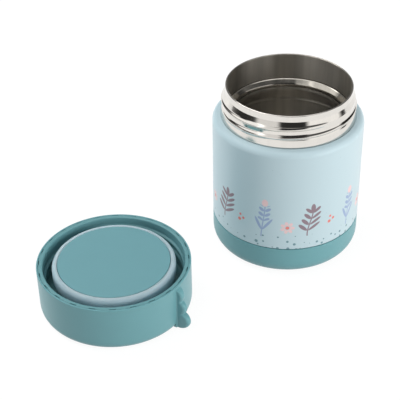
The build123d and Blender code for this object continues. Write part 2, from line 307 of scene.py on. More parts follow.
def piece(name: str, surfaces: Sequence[Surface], body: str, nodes: Sequence[str],
          material: bpy.types.Material) -> None:
    """Makes one mesh of some surfaces and ties it to the part.

    Args:
        name: the piece's name.
        surfaces: its grids.
        body: the body that it moves with.
        nodes: the solids that it stands for.
        material: its finish.
    """
    numbers, places, counts, points, used = [], [], [], [], 0
    for surface in surfaces:
        corner, flow, count = surface.faces()
        kept, corner = np.unique(corner, return_inverse=True)
        points.append(surface.points.reshape(-1, 3)[kept])
        numbers.append(corner.ravel() + used)
        places.append(flow)
        counts.append(count)
        used += len(kept)
    corners, sizes = np.concatenate(numbers), np.concatenate(counts)
    mesh = bpy.data.meshes.new(name)
    mesh.vertices.add(used)
    mesh.vertices.foreach_set("co", (np.vstack(points) * MM).ravel())
    mesh.loops.add(len(corners))
    mesh.loops.foreach_set("vertex_index", corners.astype(np.int32))
    mesh.polygons.add(len(sizes))
    mesh.polygons.foreach_set("loop_start", (sizes.cumsum() - sizes).astype(np.int32))
    mesh.polygons.foreach_set("use_smooth", np.ones(len(sizes), bool))
    mesh.uv_layers.new(name="flow").data.foreach_set("uv", np.vstack(places).ravel())
    mesh.update(calc_edges=True)
    mesh.validate()
    mesh.materials.append(material)
    made = bpy.data.objects.new(name, mesh)
    bpy.context.scene.collection.objects.link(made)
    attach(made, body)
    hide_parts(*nodes)
    LOG.info("%s: %d faces, rides on %s", name, len(sizes), body)


# ---- Shader maths --------------------------------------------------------------------------
Value = Union["Wire", float]


@dataclass(frozen=True)
class Wire:
    """A value on its way through a shader. Python's operators on it add Math nodes."""
    tree: "Shader"
    socket: bpy.types.NodeSocket

    def __add__(self, other: Value) -> "Wire":
        """Sum."""
        return self.tree.math("ADD", self, other)

    __radd__ = __add__

    def __sub__(self, other: Value) -> "Wire":
        """Difference."""
        return self.tree.math("SUBTRACT", self, other)

    def __rsub__(self, other: Value) -> "Wire":
        """Difference, with the number first."""
        return self.tree.math("SUBTRACT", other, self)

    def __mul__(self, other: Value) -> "Wire":
        """Product."""
        return self.tree.math("MULTIPLY", self, other)

    __rmul__ = __mul__

    def __truediv__(self, other: Value) -> "Wire":
        """Quotient."""
        return self.tree.math("DIVIDE", self, other)

    def __mod__(self, other: Value) -> "Wire":
        """Remainder that is never negative."""
        return self.tree.math("FLOORED_MODULO", self, other)

    def __pow__(self, other: Value) -> "Wire":
        """Power."""
        return self.tree.math("POWER", self, other)

    def __abs__(self) -> "Wire":
        """Size without the sign."""
        return self.tree.math("ABSOLUTE", self)

    def __or__(self, other: "Wire") -> "Wire":
        """The larger, which joins two masks."""
        return self.tree.math("MAXIMUM", self, other)

    def __and__(self, other: "Wire") -> "Wire":
        """The smaller, which keeps what two masks share."""
        return self.tree.math("MINIMUM", self, other)

    def ramp(self, low: float, high: float) -> "Wire":
        """Smooth step from 0 at one level to 1 at another."""
        return self.tree.node("ShaderNodeMapRange", {"interpolation_type": "SMOOTHSTEP"}, {
            "Value": self, "From Min": low, "From Max": high})

    def between(self, low: float, high: float, soft: float) -> "Wire":
        """1 between two levels and 0 outside them, over soft edges."""
        return self.ramp(low - soft, low + soft) * self.ramp(high + soft, high - soft)


class Shader:
    """The nodes of one material or world."""

    def __init__(self, owner: Union[bpy.types.Material, bpy.types.World]) -> None:
        """Empties the owner's tree.

        Args:
            owner: the material or world.
        """
        owner.use_nodes = True
        self.nodes = owner.node_tree.nodes
        self.links = owner.node_tree.links
        self.nodes.clear()

    def node(self, kind: str, settings: Optional[dict] = None, inputs: Optional[dict] = None,
             output: Union[int, str] = 0) -> Wire:
        """Adds a node.

        Args:
            kind: the node's type.
            settings: its own settings, set first.
            inputs: a value or a wire for each socket, by name or number.
            output: the socket that goes on.

        Returns:
            The wire that leaves it.
        """
        made = self.nodes.new(kind)
        for name, setting in (settings or {}).items():
            setattr(made, name, setting)
        for name, value in (inputs or {}).items():
            self.feed(made.inputs[name], value)
        return Wire(self, made.outputs[output])

    def feed(self, socket: bpy.types.NodeSocket, value: Union[Value, tuple]) -> None:
        """Links a wire to a socket, or sets the socket.

        Args:
            socket: the socket.
            value: a wire, or what the socket gets; a colour has three parts.
        """
        if isinstance(value, Wire):
            self.links.new(value.socket, socket)
        elif isinstance(value, tuple) and socket.type == "RGBA":
            socket.default_value = (*value, 1.0)
        else:
            socket.default_value = value

    def math(self, operation: str, *values: Value) -> Wire:
        """Math node on one to three values."""
        return self.node("ShaderNodeMath", {"operation": operation}, dict(enumerate(values)))

    def mix(self, share: Value, first: Union[Wire, Colour], second: Union[Wire, Colour]) -> Wire:
        """Colour between two colours, by the sockets that a Mix node has for colours."""
        return self.node("ShaderNodeMix", {"data_type": "RGBA"}, {0: share, 6: first, 7: second}, 2)

    def place(self) -> Wire:
        """Object coordinates, in metres."""
        return self.node("ShaderNodeTexCoord", output="Object")

    def split(self, vector: Wire) -> tuple[Wire, Wire, Wire]:
        """The three parts of a vector."""
        parts = self.node("ShaderNodeSeparateXYZ", inputs={0: vector}).socket.node.outputs
        return Wire(self, parts[0]), Wire(self, parts[1]), Wire(self, parts[2])

    def flow(self) -> tuple[Wire, Wire]:
        """The piece's own texture coordinates, in millimetres."""
        return self.split(self.node("ShaderNodeUVMap", {"uv_map": "flow"}))[:2]

    def noise(self, where: Wire, spacing: float, detail: float = 2.0) -> Wire:
        """Noise from 0 to 1 with lumps of about a given size in millimetres."""
        return self.node("ShaderNodeTexNoise", inputs={
            "Vector": where, "Scale": 1 / (spacing * MM), "Detail": detail})

    def bump(self, height: Wire, depth: float) -> Wire:
        """Normal of a relief whose heights from 0 to 1 span a depth in millimetres."""
        return self.node("ShaderNodeBump", inputs={
            "Height": height, "Strength": 1.0, "Distance": depth * MM})

    def finish(self, inputs: dict) -> None:
        """Ends the tree in a Principled surface with these socket values and wires."""
        surface = self.node("ShaderNodeBsdfPrincipled", inputs=inputs)
        self.node_end("ShaderNodeOutputMaterial", surface)

    def node_end(self, kind: str, surface: Wire) -> None:
        """Links a surface to an output node."""
        self.links.new(surface.socket, self.nodes.new(kind).inputs["Surface"])


def material(name: str) -> tuple[bpy.types.Material, Shader]:
    """A new material and its empty tree."""
    made = bpy.data.materials.new(name)
    return made, Shader(made)


# ---- Finishes ------------------------------------------------------------------------------
class Grain(Enum):
    """Relief of a plain finish."""
    SPARKED = "fine spark-eroded mould texture"
    CELLS = "foam cells"
    CRINKLE = "creased foil"
    PRESSED = "coarse pressed powder"
    SMOOTH = "barely uneven"


@dataclass(frozen=True)
class Finish:
    """Plain finish: one colour with slight mottling, and a relief.

    Attributes:
        name: the material's name.
        colour: its mean colour.
        roughness: its mean roughness.
        grain: the kind of relief.
        spacing: size of the relief's lumps, in millimetres.
        depth: depth of the relief, in millimetres.
        metallic: 1 for a metal.
        mottle: how far the colour strays, as a share of itself.
        wander: how far the roughness strays.
        patch: size of the patches of both, in millimetres.
        coat: strength of a clear coat.
        coat_roughness: roughness of that coat.
        scatter: how far light travels under the surface, in millimetres; 0 for none.
        crease: width of a crease's slope, as a share of the creases' distance.
        powder_detail: detail of the coarse powder's noise.
    """
    name: str
    colour: Colour
    roughness: float
    grain: Grain = Grain.SPARKED
    spacing: float = 0.35
    depth: float = 0.01
    metallic: float = 0.0
    mottle: float = 0.03
    wander: float = 0.06
    patch: float = 14.0
    coat: float = 0.0
    coat_roughness: float = 0.25
    scatter: float = 0.0
    crease: float = 0.4
    powder_detail: float = 6.0

    def make(self) -> bpy.types.Material:
        """Builds the material.

        Returns:
            The material.
        """
        made, shader = material(self.name)
        where = shader.place()
        patches = shader.noise(where, self.patch, 3.0)
        low = tuple(part * (1 - self.mottle) for part in self.colour)
        high = tuple(min(1.0, part * (1 + self.mottle)) for part in self.colour)
        shader.finish({
            "Base Color": shader.mix(patches, low, high),
            "Roughness": self.roughness + self.wander * (patches - MEAN),
            "Metallic": self.metallic,
            "Coat Weight": self.coat,
            "Coat Roughness": self.coat_roughness,
            "Subsurface Weight": 1.0 if self.scatter else 0.0,
            "Subsurface Radius": (1.0, 1.0, 1.0),
            "Subsurface Scale": self.scatter * MM,
            "Normal": shader.bump(self.relief(shader, where), self.depth),
        })
        return made

    def relief(self, shader: Shader, where: Wire) -> Wire:
        """Heights from 0 to 1 of the finish's own relief.

        Args:
            shader: the tree.
            where: place on the piece.

        Returns:
            The heights.
        """
        cells = {"Vector": where, "Scale": 1 / (self.spacing * MM)}
        if self.grain is Grain.CELLS:
            return shader.node("ShaderNodeTexVoronoi", {"feature": "SMOOTH_F1"}, cells)
        if self.grain is Grain.CRINKLE:
            edges = shader.node("ShaderNodeTexVoronoi", {"feature": "DISTANCE_TO_EDGE"}, cells)
            return edges.ramp(0.0, self.crease)
        if self.grain is Grain.PRESSED:
            return shader.noise(where, self.spacing, self.powder_detail)
        return shader.noise(where, self.spacing)


@dataclass(frozen=True)
class Steel:
    """Bare stainless steel with the lines that polishing or brushing leaves round it.

    Attributes:
        name: the material's name.
        colour: its reflectance.
        roughness: its mean roughness.
        line: width of the lines, in millimetres.
        line_length: length of the lines, in millimetres.
        line_shade: colour of the darkest line, as a share of the steel's.
        depth: depth of the lines, in millimetres.
        anisotropy: stretch of the highlights across the lines.
        stretch_turn: direction of that stretch, as a share of a turn.
        stain: how far the roughness strays in patches; half of it goes with the lines.
        patch: size of the patches, in millimetres.
        metallic: less than 1 where the lines are coarse enough to scatter light.
        painted_streak: how much darker the upright streaks are, as a share: painted reflections of
            brushed steel.
        streak_width: width of the streaks, in millimetres.
        streak_length: length of the streaks, in millimetres.
        streak_levels: the noise's levels between which a streak turns into plain steel.
    """
    name: str
    colour: Colour
    roughness: float
    line: float = 0.25
    line_length: float = 60.0
    line_shade: float = 0.93
    depth: float = 0.0004
    anisotropy: float = 0.0
    stretch_turn: float = 0.25
    stain: float = 0.04
    patch: float = 22.0
    metallic: float = 1.0
    painted_streak: float = 0.0
    streak_width: float = 7.0
    streak_length: float = 90.0
    streak_levels: tuple[float, float] = (0.35, 0.65)

    def make(self) -> bpy.types.Material:
        """Builds the material.

        Returns:
            The material.
        """
        made, shader = material(self.name)
        around, along = shader.flow()
        lines = self.stretched(shader, around / self.line_length, along / self.line)
        patches = shader.noise(shader.place(), self.patch, 3.0)
        dark = tuple(part * self.line_shade for part in self.colour)
        # painted reflection: the upright streaks darken the colour where brushed steel shows
        # stretched reflections
        deep = tuple(part * (1 - self.painted_streak) for part in self.colour)
        streaks = self.stretched(shader, around / self.streak_width, along / self.streak_length)
        shader.finish({
            "Base Color": shader.mix(streaks.ramp(*self.streak_levels), deep,
                                     shader.mix(lines, dark, self.colour)),
            "Roughness": (self.gloss(shader) + self.stain * (patches - MEAN)
                          + self.stain / 2 * (lines - MEAN)),
            "Metallic": self.metallic,
            "Anisotropic": self.anisotropy,
            "Anisotropic Rotation": self.stretch_turn,
            "Normal": shader.bump(lines, self.depth),
        })
        return made

    def stretched(self, shader: Shader, across: Wire, up: Wire) -> Wire:
        """Noise that is long one way and short the other, as lines and streaks are.

        Args:
            shader: the tree.
            across: length round the axis, measured in lumps.
            up: length along the outline, measured in lumps.

        Returns:
            The noise, from 0 to 1.
        """
        where = shader.node("ShaderNodeCombineXYZ", inputs={0: across, 1: up})
        return shader.node("ShaderNodeTexNoise", inputs={
            "Vector": where, "Scale": 1.0, "Detail": 3.0})

    def gloss(self, shader: Shader) -> Value:
        """Mean roughness."""
        return self.roughness


@dataclass(frozen=True)
class VesselSteel(Steel):
    """Brushed steel with a band that is polished, where a seal presses on it.

    Attributes:
        polish: roughness of the band.
        band: heights of the band's edges, in millimetres.
        blend: how far the polish fades to both sides of an edge, in millimetres.
    """
    polish: float = 0.1
    band: tuple[float, float] = (90.6, 95.8)
    blend: float = 0.4

    def gloss(self, shader: Shader) -> Value:
        """Mean roughness, by height.

        Args:
            shader: the tree.

        Returns:
            The plain roughness outside the band and the polish inside it.
        """
        height = shader.split(shader.place())[2] / MM
        inside = height.between(*self.band, self.blend)
        return self.roughness - (self.roughness - self.polish) * inside


@dataclass(frozen=True)
class PrintedPaint:
    """Satin powder paint with a printed meadow: dots, daisies, sprigs and bud stalks.

    The print is worked out from the texture place: the first coordinate is the length round
    the wall and the second the height. The wall is cut into equal cells, and each cell has one
    motif of each kind. A motif's mask is 1 inside its outline and 0 outside. A kind's spot is
    how far it stands from its cell's middle and its mean height. Millimetres.

    Attributes:
        name: the material's name.
        colour: the paint.
        girth: length once round the wall.
        cells: cells once round.
        roughness: the paint's mean roughness.
        wander: how far the roughness strays.
        patch: size of the paint's patches.
        patch_shade: colour of the darkest patch, as a share of the paint's.
        orange_peel: size of the paint's fine and coarse lumps.
        coarse_share: height of the coarse lumps, as a share of the fine ones'.
        depth: depth of those lumps.
        edge: half width of a motif's soft edge.
        stray: how far motifs wander sideways and upwards.
        smallest: size of the smallest motif, as a share of its full size.
        growth: what the largest one has on top of that.
        dot_pitch: distance of the dots.
        dot_stray: how far dots wander.
        dot_size: radius of the largest dot, before the cut.
        dot_cut: what each dot's radius loses, so that some vanish.
        dot_fall: height at which the dots begin to thin out, and how far up they are gone.
        daisy_spot: the daisies' spot.
        sprig_spot: the sprigs' spot.
        stalk_spot: the bud stalks' spot.
        berry_spot: the berries' spot.
        mauve: ink of the sprigs.
        pink: ink of the daisies and of the stalks' flowers.
        coral: ink of the berries and of the daisies' middles.
        lilac: ink of the stalks.
        speck: ink of the dots.
    """
    name: str
    colour: Colour
    girth: float
    cells: int = 5
    roughness: float = 0.36
    wander: float = 0.05
    patch: float = 25.0
    patch_shade: float = 0.985
    orange_peel: tuple[float, float] = (0.45, 1.6)
    coarse_share: float = 0.6
    depth: float = 0.006
    edge: float = 0.12
    stray: tuple[float, float] = (2.0, 4.0)
    smallest: float = 0.86
    growth: float = 0.28
    dot_pitch: float = 4.8
    dot_stray: float = 2.9
    dot_size: float = 1.25
    dot_cut: float = 0.1
    dot_fall: tuple[float, float] = (25.0, 11.0)
    daisy_spot: Corner = (-3.0, 37.0)
    sprig_spot: Corner = (12.0, 43.0)
    stalk_spot: Corner = (-18.0, 41.0)
    berry_spot: Corner = (25.0, 36.0)
    mauve: Colour = srgb(136, 118, 128)
    pink: Colour = srgb(226, 196, 198)
    coral: Colour = srgb(222, 128, 120)
    lilac: Colour = srgb(146, 166, 200)
    speck: Colour = srgb(106, 142, 152)

    def make(self) -> bpy.types.Material:
        """Builds the material.

        Returns:
            The material.
        """
        made, shader = material(self.name)
        where = shader.place()
        around, height = shader.flow()
        patches = shader.noise(where, self.patch)
        low = tuple(part * self.patch_shade for part in self.colour)
        paint = shader.mix(patches, low, self.colour)
        printed = shader.mix(self.dots(shader, around, height), paint, self.speck)
        for spot, draw, ink in (
                (self.daisy_spot, self.daisy, self.pink),
                (self.daisy_spot, self.heart, self.coral),
                (self.sprig_spot, self.sprig, self.mauve),
                (self.stalk_spot, self.stalk, self.lilac),
                (self.stalk_spot, self.buds, self.pink),
                (self.berry_spot, self.berries, self.coral)):
            x, y, size = self.cell(shader, around, height, *spot)
            printed = shader.mix(draw(x, y, size), printed, ink)
        fine, coarse = self.orange_peel
        lumps = shader.noise(where, fine) + self.coarse_share * shader.noise(where, coarse, 1.0)
        shader.finish({
            "Base Color": printed,
            "Roughness": self.roughness + self.wander * (patches - MEAN),
            "Normal": shader.bump(lumps, self.depth),
        })
        return made

    def inside(self, distance: Wire) -> Wire:
        """Mask of what lies at a negative distance, in millimetres, with a soft edge."""
        return distance.ramp(self.edge, -self.edge)

    def chance(self, shader: Shader, number: Wire) -> Wire:
        """Random value from 0 to 1 that depends on a number."""
        return shader.node("ShaderNodeTexWhiteNoise", {"noise_dimensions": "1D"}, {
            "W": number}, "Value")

    def cell(self, shader: Shader, around: Wire, height: Wire, shift: float,
             middle: float) -> tuple[Wire, Wire, Wire]:
        """Place within a motif's cell, and the motif's size.

        Each cell's number, moved by a seed and by the motif's shift, draws its luck.

        Args:
            shader: the tree.
            around: length round the wall.
            height: height on the wall.
            shift: motif's place from its cell's middle.
            middle: mean height of the motifs.

        Returns:
            Sideways and upward distance from the motif's middle, and its size about 1.
        """
        side_seed, rise_seed = 7.3, 31.7
        width = self.girth / self.cells
        number = shader.math("FLOOR", around / width)
        luck = self.chance(shader, number + side_seed + shift)
        x = around - (number + 0.5) * width - shift - self.stray[0] * (luck - MEAN)
        rise = self.chance(shader, number + rise_seed + shift)
        y = height - middle - self.stray[1] * (rise - MEAN)
        return x, y, self.smallest + self.growth * luck

    def dots(self, shader: Shader, around: Wire, height: Wire) -> Wire:
        """Small dots low on the wall, at most one in each square cell, smaller and fewer upwards.

        A cell's column and row, each times a seed of its own, draw its two chances. What is
        left of seven times the first one without its whole part gives the dot's size.

        Args:
            shader: the tree.
            around: length round the wall.
            height: height on the wall.

        Returns:
            The dots' mask.
        """
        first_seeds, second_seeds, nudge = (3.17, 71.3), (5.71, 13.9), 0.5
        pitch = self.girth / round(self.girth / self.dot_pitch)
        column, row = (shader.math("FLOOR", value / pitch) for value in (around, height))
        first = self.chance(shader, column * first_seeds[0] + row * first_seeds[1])
        second = self.chance(shader, column * second_seeds[0] + row * second_seeds[1] + nudge)
        x = around - (column + 0.5) * pitch - self.dot_stray * (first - MEAN)
        y = height - (row + 0.5) * pitch - self.dot_stray * (second - MEAN)
        start, reach = self.dot_fall
        size = self.dot_size * ((first * 7.0) % 1.0) - self.dot_cut
        size = size - (height - start).ramp(0.0, reach)
        return self.inside(shader.math("SQRT", x * x + y * y) - size)

    def oval(self, x: Wire, y: Wire, wide: Value, tall: Value) -> Wire:
        """Mask of an oval about the middle, from its half width and half height.

        The reach is 1 on the outline. About a small motif a step of 1 in reach is taken as
        a little over a millimetre, which keeps the soft edge as wide as elsewhere.

        Args:
            x: sideways distance from the middle.
            y: upward distance from the middle.
            wide: half width.
            tall: half height.

        Returns:
            The mask.
        """
        step = 1.2
        across, up = x / wide, y / tall
        reach = across.tree.math("SQRT", across * across + up * up)
        return self.inside((reach - 1.0) * step)

    def daisy(self, x: Wire, y: Wire, size: Wire) -> Wire:
        """Seven petals round a hole: the outline's radius swings with the angle.

        The swing is the size of the cosine of three and a half times the angle, taken to a
        power that makes the petals round. The motif's size also turns it.

        Args:
            x: sideways distance from the motif's middle.
            y: upward distance from the motif's middle.
            size: the motif's size about 1.

        Returns:
            The mask.
        """
        petals, turn, fullness = 7, 9.0, 0.55
        length, least, hole = 4.3, 0.36, 1.7
        tree = x.tree
        angle = tree.math("ARCTAN2", y, x)
        swing = abs(tree.math("COSINE", angle * (petals / 2) + size * turn)) ** fullness
        reach = tree.math("SQRT", x * x + y * y) / size
        outline = self.inside(reach - length * (least + (1 - least) * swing))
        return outline & self.inside(hole - reach)

    def heart(self, x: Wire, y: Wire, size: Wire) -> Wire:
        """The daisy's round middle."""
        radius = 1.15
        return self.oval(x, y, radius * size, radius * size)

    def sprig(self, x: Wire, y: Wire, size: Wire) -> Wire:
        """Bent stem with pairs of slanted leaves and one at its end.

        The stem's line is a sine wave of the height. What repeats at a pitch along it, at a
        slant, is a pair of leaves, which stand closer to the stem further up.

        Args:
            x: sideways distance from the motif's middle.
            y: upward distance from the motif's middle.
            size: the motif's size about 1.

        Returns:
            The mask.
        """
        sway, wave, thin, half = 1.7, 0.17, 0.42, 9.5
        pitch, leaf, narrow = 4.3, 3.6, 0.09
        bend = abs(x - sway * x.tree.math("SINE", y * wave))
        stem = self.inside(bend - thin) & self.inside(abs(y + 1.0) - half)
        slant = y - bend * 0.7
        pair = (slant + 2 * pitch) % pitch - pitch / 2
        reach = leaf * size - y * narrow
        leaves = self.oval(bend - reach, pair, reach * 0.92, 1.35) & self.inside(
            abs(slant + 0.4) - 8.4)
        return stem | leaves | self.oval(x - sway, y - 9.8, 1.5, 3.1)

    def stalk(self, x: Wire, y: Wire, size: Wire) -> Wire:
        """Tall stalk with two long leaves low down and round buds in pairs above.

        Args:
            x: sideways distance from the motif's middle.
            y: upward distance from the motif's middle.
            size: the motif's size about 1.

        Returns:
            The mask.
        """
        sway, wave, thin, half = 1.2, 0.11, 0.38, 12.0
        pitch, start = 3.7, 20.0
        bend = abs(x - sway * x.tree.math("SINE", y * wave))
        stem = self.inside(bend - thin) & self.inside(abs(y) - half)
        leaves = self.oval(bend - 2.9, y + 6.5 - bend * 1.5, 2.8, 1.7)
        slant = y - bend * 0.5
        pair = (slant + start) % pitch - pitch / 2
        round_buds = self.oval(bend - 2.0 * size, pair, 1.75, 1.25) & self.inside(
            abs(slant - 5.2) - 5.5)
        return stem | leaves | round_buds

    def buds(self, x: Wire, y: Wire, size: Wire) -> Wire:
        """Pale flower at the top of the stalk."""
        return self.oval(x - 1.0, y - 13.6, 2.0, 2.6)

    def berries(self, x: Wire, y: Wire, size: Wire) -> Wire:
        """Three berries in a cluster; the first one's radius follows the motif's size.

        Args:
            x: sideways distance from the motif's middle.
            y: upward distance from the motif's middle.
            size: the motif's size about 1.

        Returns:
            The mask.
        """
        first, second, third = 1.2, 0.95, 0.85
        near = self.oval(x, y, first * size, first * size)
        return near | self.oval(x - 2.9, y - 1.6, second, second) | self.oval(
            x - 0.6, y - 3.7, third, third)


WALL_RADIUS = 47.0          # of the painted wall, in millimetres
PAINT = PrintedPaint("light_blue_powder_paint", srgb(186, 207, 215), girth=FULL * WALL_RADIUS)
NECK_STEEL = Steel("polished_steel", srgb(226, 222, 216), roughness=0.09)
# the mouth steel's upright streaks are painted reflections in its colour
MOUTH_STEEL = VesselSteel("satin_steel", srgb(197, 192, 183), roughness=0.4, line=0.3, depth=0.0010,
                          anisotropy=0.9, stain=0.06, metallic=0.95, painted_streak=0.2)
BASE_PLASTIC = Finish("teal_base_plastic", srgb(104, 156, 163), roughness=0.42)
COVER_PLASTIC = Finish("teal_cover_plastic", srgb(103, 154, 161), roughness=0.36)
COLLAR_PLASTIC = Finish("teal_inner_plastic", srgb(98, 146, 152), roughness=0.32)
DISC_PLASTIC = Finish("teal_disc_plastic", srgb(103, 151, 159), roughness=0.45)
SILICONE = Finish("light_blue_silicone", srgb(170, 192, 204), roughness=0.42,
                  grain=Grain.SMOOTH, spacing=2.5, depth=0.02, scatter=9.0)
FOAM = Finish("white_foam", srgb(238, 238, 234), roughness=0.85,
              grain=Grain.CELLS, spacing=0.7, depth=0.12)
TAPE = Finish("white_bonding_foam", srgb(232, 232, 226), roughness=0.8,
              grain=Grain.CELLS, spacing=0.5, depth=0.08)
BEAD_GLASS = Finish("solder_glass", srgb(58, 60, 58), roughness=0.15,
                    grain=Grain.SMOOTH, spacing=1.2, depth=0.02, coat=0.6)
BOTTOM_STEEL = Finish("bottom_pan_steel", srgb(178, 175, 170), roughness=0.32,
                      grain=Grain.SMOOTH, spacing=3.0, depth=0.01, metallic=1.0)
PAN_STEEL = Finish("getter_pan_steel", srgb(170, 168, 164), roughness=0.3,
                   grain=Grain.SMOOTH, spacing=2.0, depth=0.01, metallic=1.0)
GETTER_METAL = Finish("getter_powder", srgb(92, 90, 88), roughness=0.7,
                      grain=Grain.PRESSED, spacing=0.3, depth=0.05, metallic=1.0)
COPPER_FOIL = Finish("copper_foil", srgb(206, 152, 120), roughness=0.22,
                     grain=Grain.CRINKLE, spacing=6.0, depth=0.06, metallic=1.0)


# ---- Jar -----------------------------------------------------------------------------------
@dataclass
class Jar:
    """Double-walled steel jar in a moulded base cup, about the Z axis. Millimetres.

    A field that ends in rounds holds the radii of an outline's corners, in its order, and one
    that ends in steps the number of spans in each of its arcs.
    """
    height: float = 112.6
    sheet: float = 0.6
    edge_gap: float = 0.01
    bore: float = 37.8
    neck_step: float = 1.6
    band_step: float = 1.0
    shoulder_width: float = 5.4
    neck_height: float = 20.6
    neck_rounds: Rounds = (0.55, 0.8, 0.8, 0.8, 0.8, 0.1)
    neck_span: float = 0.28
    band_height: float = 5.4
    band_slope: float = 1.2
    band_taper: float = 0.35
    band_edge: float = 0.2
    tuck_height: float = 0.4
    tuck_width: float = 0.5
    tuck_depth: float = 0.05
    lip_height: float = 3.9
    lip_cone: float = 3.2
    lip_taper: float = 0.18
    thread: Thread = Thread(rise=1.1, pitch=5.4, turns=1.4, bearing=170.0, upper_flank=1.95,
                            lower_flank=1.6)
    thread_start: float = 15.1
    shoulder_fall: float = 1.2
    shoulder_foot: float = 0.5
    shoulder_dip: float = 0.1
    wall_rounds: Rounds = (0.8, 3.8, 0.7, 0.3)
    wall_steps: int = 12
    wall_span: float = 12.0
    wall_lap: float = 7.0
    ledge_depth: float = 17.4
    ledge_fall: float = 4.2
    ledge_width: float = 2.8
    seat: float = 0.6
    seat_fall: float = 0.35
    throat_slope: float = 1.2
    throat_height: float = 2.4
    flare_height: float = 8.4
    vacuum_gap: float = 5.3
    weld: float = 78.2
    weld_rise: float = 0.3
    weld_width: float = 0.9
    chamber_floor: float = 12.0
    liner_rounds: Rounds = (0.55, 0.3, 0.4, 3.0, 1.5, 1.5, 1.0, 1.0, 1.0, 6.0)
    liner_steps: int = 9
    base_height: float = 20.8
    base_wall: float = 2.2
    base_round: float = 10.0
    base_steps: int = 10
    rim_rounds: Rounds = (0.5, 0.3)
    seam: float = 0.4
    foot_gap: float = 0.2
    groove_width: float = 1.1
    groove_depth: float = 0.5
    groove_round: float = 0.15
    groove_place: float = 4.4
    paint_lap: float = 0.3
    paint_thickness: float = 0.08
    neck_columns: int = 540
    wall_columns: int = 256
    body: str = "jar"

    def __post_init__(self) -> None:
        """Works out the radii and heights that follow from the sizes."""
        self.lip_radius = self.bore + 2 * self.sheet
        self.neck_radius = self.lip_radius + self.neck_step
        self.neck_foot = self.neck_radius + self.band_step
        self.wall_radius = self.neck_foot + self.shoulder_width
        self.neck_low = self.height - self.neck_height
        self.chamber = self.wall_radius - self.vacuum_gap - 2 * self.sheet
        self.foot_radius = self.wall_radius - self.base_wall - self.foot_gap

    def build(self) -> None:
        """Builds the jar's visible pieces from the rim down."""
        self.neck()
        self.wall()
        self.liner()
        self.base()

    def neck(self) -> None:
        """Polished rim, thread and plain band, as the outer half of the rolled edge."""
        middle = self.bore + self.sheet
        lip_low = self.height - self.lip_height
        band_top = self.neck_low + self.band_height
        corners = [
            (middle, self.height),
            (self.lip_radius, self.height),
            (self.lip_radius + self.lip_taper, lip_low),
            (self.neck_radius, lip_low - self.lip_cone),
            (self.neck_radius, band_top + self.band_slope),
            (self.neck_foot - self.band_taper, band_top - self.band_edge),
            (self.neck_foot, self.neck_low + self.tuck_height),
            (self.neck_foot - self.tuck_width, self.neck_low - self.tuck_depth),
        ]
        outside = refined(rounded(corners, self.neck_rounds), self.neck_span)
        inside = offset(outside[::-1], -self.sheet)
        inside[-1] = (middle, self.height - self.edge_gap)
        angles = circle(self.neck_columns)
        outline = np.vstack([outside, inside])
        ridge = self.thread.relief(angles, outline[:, 1], self.height - self.thread_start)
        surface = turned(outline, angles, radial=ridge)
        piece("threaded_neck", [surface], self.body, ["outer_shell"],
              NECK_STEEL.make())

    def wall(self) -> None:
        """Painted shoulder, wall and the step into the base cup."""
        step = self.base_height + self.seam
        top = self.neck_low + self.paint_thickness
        corners = [
            (self.neck_foot - self.paint_lap, top),
            (self.neck_foot + self.shoulder_foot, top - self.shoulder_dip),
            (self.wall_radius, self.neck_low - self.shoulder_fall),
            (self.wall_radius, step),
            (self.foot_radius, step),
            (self.foot_radius, step - self.wall_lap),
        ]
        outside = refined(rounded(corners, self.wall_rounds, self.wall_steps), self.wall_span)
        inside = offset(outside[::-1], -self.sheet)
        surface = turned(np.vstack([outside, inside]), circle(self.wall_columns),
                         flow_radius=self.wall_radius, flow_height=True)
        piece("painted_wall", [surface], self.body, ["outer_shell"], PAINT.make())

    def liner(self) -> None:
        """Inner vessel: rounded edge, bore, sealing ledge, throat, chamber and its weld bead."""
        ledge = self.height - self.ledge_depth
        throat = ledge - self.ledge_fall
        flare = throat - self.throat_height
        narrow = self.bore - self.ledge_width
        corners = [
            (self.bore + self.sheet, self.height),
            (self.bore, self.height),
            (self.bore, ledge),
            (self.bore - self.seat, ledge - self.seat_fall),
            (narrow, throat + self.throat_slope),
            (narrow, flare),
            (self.chamber, flare - self.flare_height),
            (self.chamber, self.weld + self.weld_width),
            (self.chamber - self.weld_rise, self.weld),
            (self.chamber, self.weld - self.weld_width),
            (self.chamber, self.chamber_floor),
            (0.0, self.chamber_floor),
        ]
        inside = rounded(corners, self.liner_rounds, self.liner_steps)
        outside = offset(inside[::-1], self.sheet)
        outside[0, 0] = 0.0
        outside[-1] = (self.bore + self.sheet, self.height - self.edge_gap)
        surface = turned(np.vstack([inside, outside]), circle(self.wall_columns))
        nodes = ["liner_mouth", "inner_liner", "liner_bottom"]
        piece("liner", [surface], self.body, nodes, MOUTH_STEEL.make())

    def base(self) -> None:
        """Moulded base cup with a ring groove under it."""
        ring = self.wall_radius - self.base_round - self.groove_place
        inner = self.wall_radius - self.base_wall
        corners = [
            (0.0, 0.0),
            (ring - self.groove_width, 0.0),
            (ring - self.groove_width, self.groove_depth),
            (ring, self.groove_depth),
            (ring, 0.0),
            (self.wall_radius, 0.0),
            (self.wall_radius, self.base_height),
            (inner, self.base_height),
            (inner, self.base_wall),
            (0.0, self.base_wall),
        ]
        groove = 4 * (self.groove_round,)
        rounds = (*groove, self.base_round, *self.rim_rounds, self.base_round - self.base_wall)
        surface = turned(rounded(corners, rounds, self.base_steps), circle(self.wall_columns))
        piece("base_moulding", [surface], self.body, ["base_cup"],
              BASE_PLASTIC.make())


